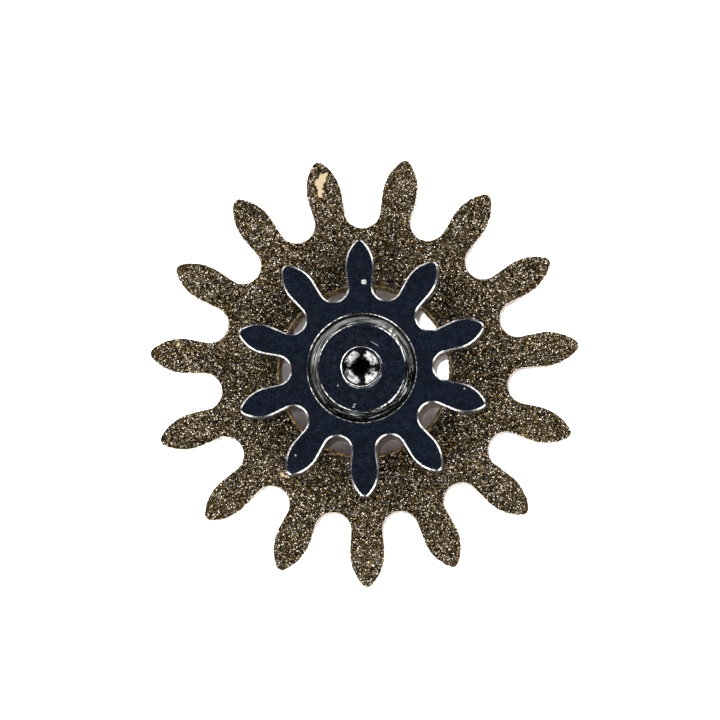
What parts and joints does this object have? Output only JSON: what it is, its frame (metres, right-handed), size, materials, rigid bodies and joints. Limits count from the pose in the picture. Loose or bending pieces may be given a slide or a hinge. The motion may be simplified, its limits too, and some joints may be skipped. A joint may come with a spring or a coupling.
{
  "type": "watch intermediate wheel",
  "caption": "Small watch intermediate wheel: a frosted brass wheel with pointed teeth riveted on a polished steel pinion with bevelled leaves, a hollowed face and domed pivots.",
  "frame": {"origin": "on the axis, at the end of the lower pivot, which is the lowest point", "axes": "+Z along the axis towards the upper pivot, -Y through the point of one tooth of the wheel"},
  "size_m": [0.0042, 0.0043, 0.0013],
  "materials": {
    "frosted_brass": "granular, darkened, with bright grains",
    "polished_steel": "mirror polished"
  },
  "bodies": {
    "root": {"wheel": "frosted_brass", "pinion": "polished_steel"}
  },
  "joints": []
}
